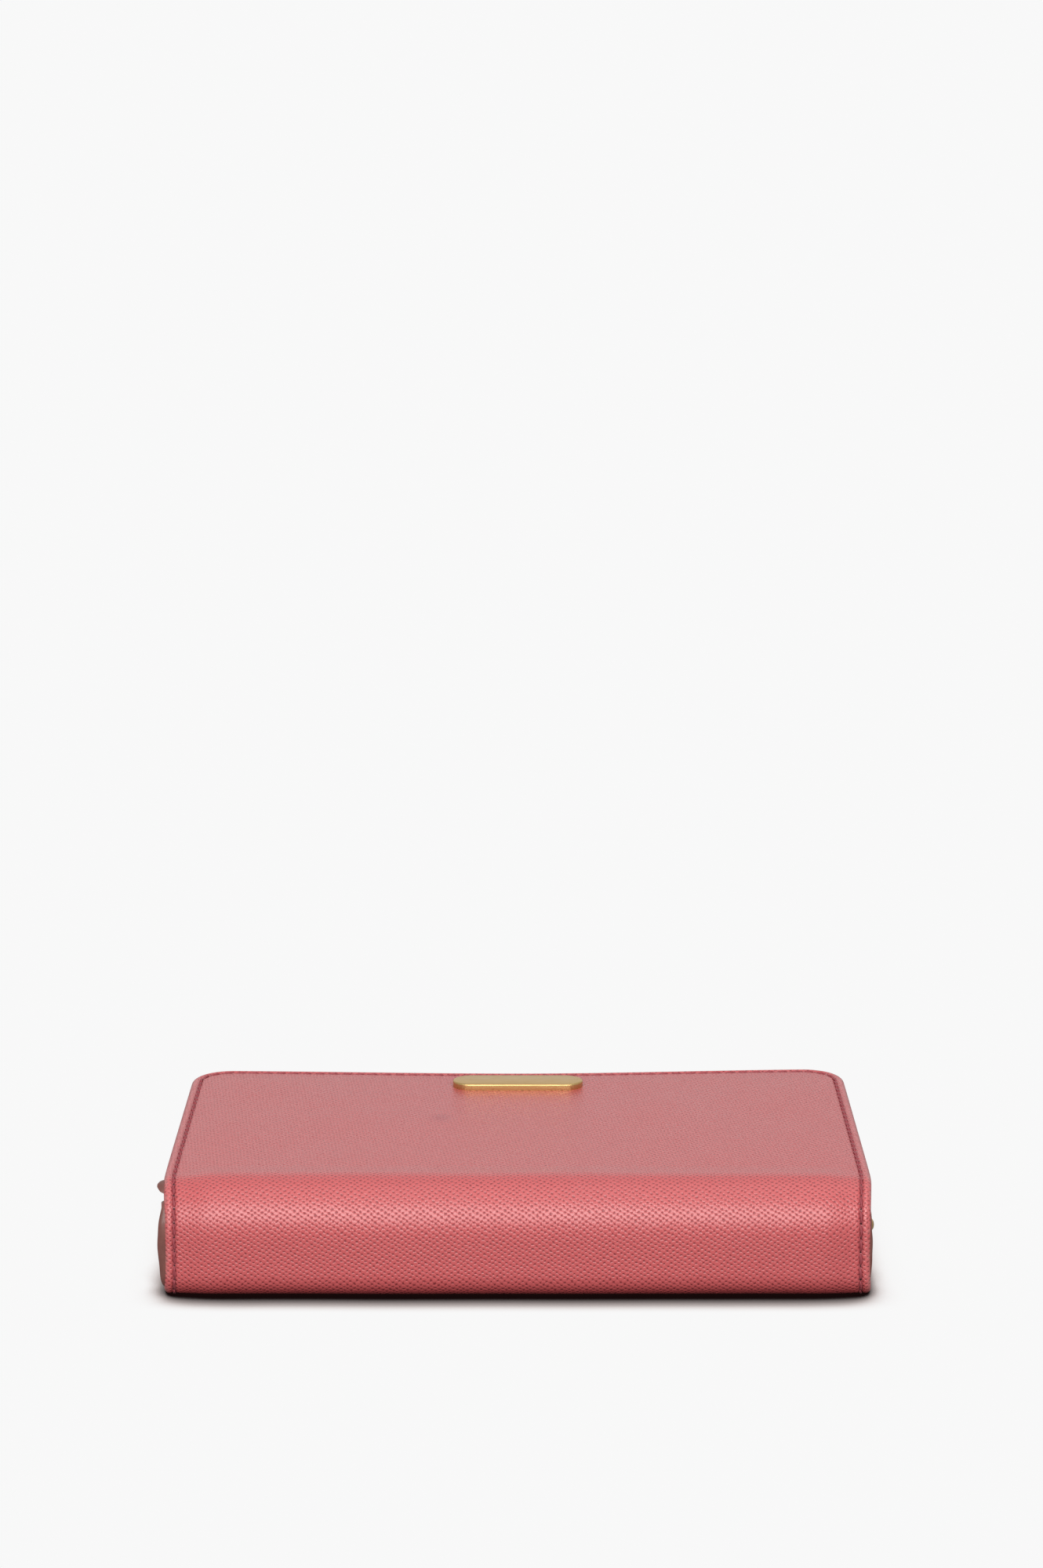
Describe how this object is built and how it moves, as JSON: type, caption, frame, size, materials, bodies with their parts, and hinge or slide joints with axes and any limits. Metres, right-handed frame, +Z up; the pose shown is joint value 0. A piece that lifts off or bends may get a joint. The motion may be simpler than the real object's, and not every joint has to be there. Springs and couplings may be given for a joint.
{
  "type": "wristlet wallet",
  "caption": "Zip-around wristlet wallet: stiff leather covers joined by a soft spine, with card slots, a zipped coin pocket, side gussets and a ring for a strap.",
  "frame": {"origin": "middle of the wallet's footprint, on the surface its back cover lies on", "axes": "+X along the spine, +Y from the spine to the zip side, +Z up through the front cover"},
  "size_m": [0.1639, 0.1, 0.028],
  "materials": {
    "coral_leather": "satin",
    "lining_leather": "matte",
    "painted_edge_leather": "satin",
    "stiff_board": "matte",
    "zip_tape": "matte",
    "gold_metal": "polished"
  },
  "bodies": {
    "back": {"back_leather": "coral_leather", "back_board": "stiff_board", "back_lining": "lining_leather", "back_card_slot_1": "lining_leather", "back_card_slot_2": "lining_leather", "back_card_slot_3": "lining_leather", "back_card_slot_4": "lining_leather", "back_zip_tape": "zip_tape", "back_zip_teeth": "gold_metal", "ring_tab": "painted_edge_leather"},
    "front": {"front_leather": "coral_leather", "front_board": "stiff_board", "front_lining": "lining_leather", "front_card_slot_1": "lining_leather", "front_card_slot_2": "lining_leather", "front_card_slot_3": "lining_leather", "front_card_slot_4": "lining_leather", "front_zip_tape": "zip_tape", "front_zip_teeth": "gold_metal", "plaque": "gold_metal", "plaque_washer_left": "gold_metal", "plaque_washer_right": "gold_metal"},
    "centre": {"coin_pocket_back_panel": "lining_leather", "coin_pocket_front_panel": "lining_leather", "coin_pocket_edge": "lining_leather", "coin_zip_tape": "zip_tape", "coin_zip_teeth": "gold_metal", "gusset_back_left": "coral_leather", "gusset_back_right": "coral_leather", "gusset_front_left": "coral_leather", "gusset_front_right": "coral_leather"},
    "coin_slider": {"coin_slider": "gold_metal", "coin_pull": "gold_metal"},
    "zip_slider": {"zip_slider_outer": "gold_metal", "zip_slider_inner": "gold_metal"},
    "zip_pull": {"zip_pull_stirrup": "gold_metal", "zip_pull_leather": "coral_leather"},
    "strap_ring": {"strap_ring": "gold_metal"}
  },
  "joints": [
    {"name": "cover_hinge", "type": "hinge", "parent": "back", "child": "front", "pos_m": [0, -0.05, 0.01325], "axis": [1, 0, 0], "range_deg": [0, 60]},
    {"name": "pocket_fan", "type": "hinge", "parent": "back", "child": "centre", "pos_m": [0, -0.05, 0.01325], "axis": [1, 0, 0], "range_deg": [0, 30]},
    {"name": "coin_zip", "type": "slide", "parent": "centre", "child": "coin_slider", "axis": [1, 0, 0], "range_m": [0, 0.122]},
    {"name": "main_zip", "type": "slide", "parent": "back", "child": "zip_slider", "axis": [0, 1, 0], "range_m": [0, 0.07]},
    {"name": "pull_swing", "type": "hinge", "parent": "zip_slider", "child": "zip_pull", "pos_m": [0.08005, -0.03545, 0.01325], "axis": [0, 0, -1], "range_deg": [0, 150]},
    {"name": "ring_swing", "type": "hinge", "parent": "back", "child": "strap_ring", "pos_m": [-0.07989, -0.033, 0.01325], "axis": [0, 0, 1], "range_deg": [0, 140]}
  ],
  "couplings": [
    {"joint": "pocket_fan", "follows": "cover_hinge", "ratio": 0.5}
  ]
}
